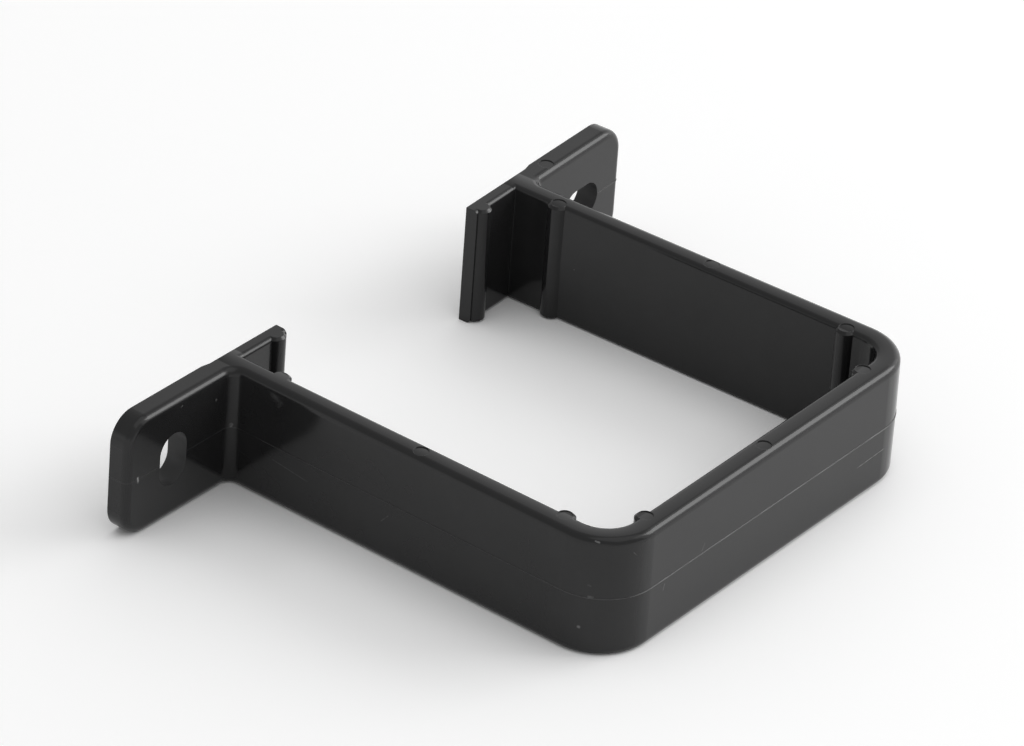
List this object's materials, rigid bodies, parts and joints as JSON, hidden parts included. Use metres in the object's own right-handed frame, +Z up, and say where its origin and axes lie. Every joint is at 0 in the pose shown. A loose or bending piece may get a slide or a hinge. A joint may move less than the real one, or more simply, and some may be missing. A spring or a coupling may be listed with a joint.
{
  "type": "downpipe clip",
  "caption": "Moulded plastic clip for a square downpipe: a U-shaped band that wraps the pipe, with slotted wall lugs and lipped inner flanges at its open ends.",
  "frame": {"origin": "on the wall plane, midway between the centres of the two fixing slots, at mid-height of the band", "axes": "+X along the wall towards the lug with the upright slot, +Y from the wall to the front bar, +Z up along the downpipe"},
  "size_m": [0.1155, 0.0737, 0.0194],
  "materials": {
    "black_upvc": "satin moulded black"
  },
  "bodies": {
    "root": {"downpipe_clip": "black_upvc"}
  },
  "joints": []
}
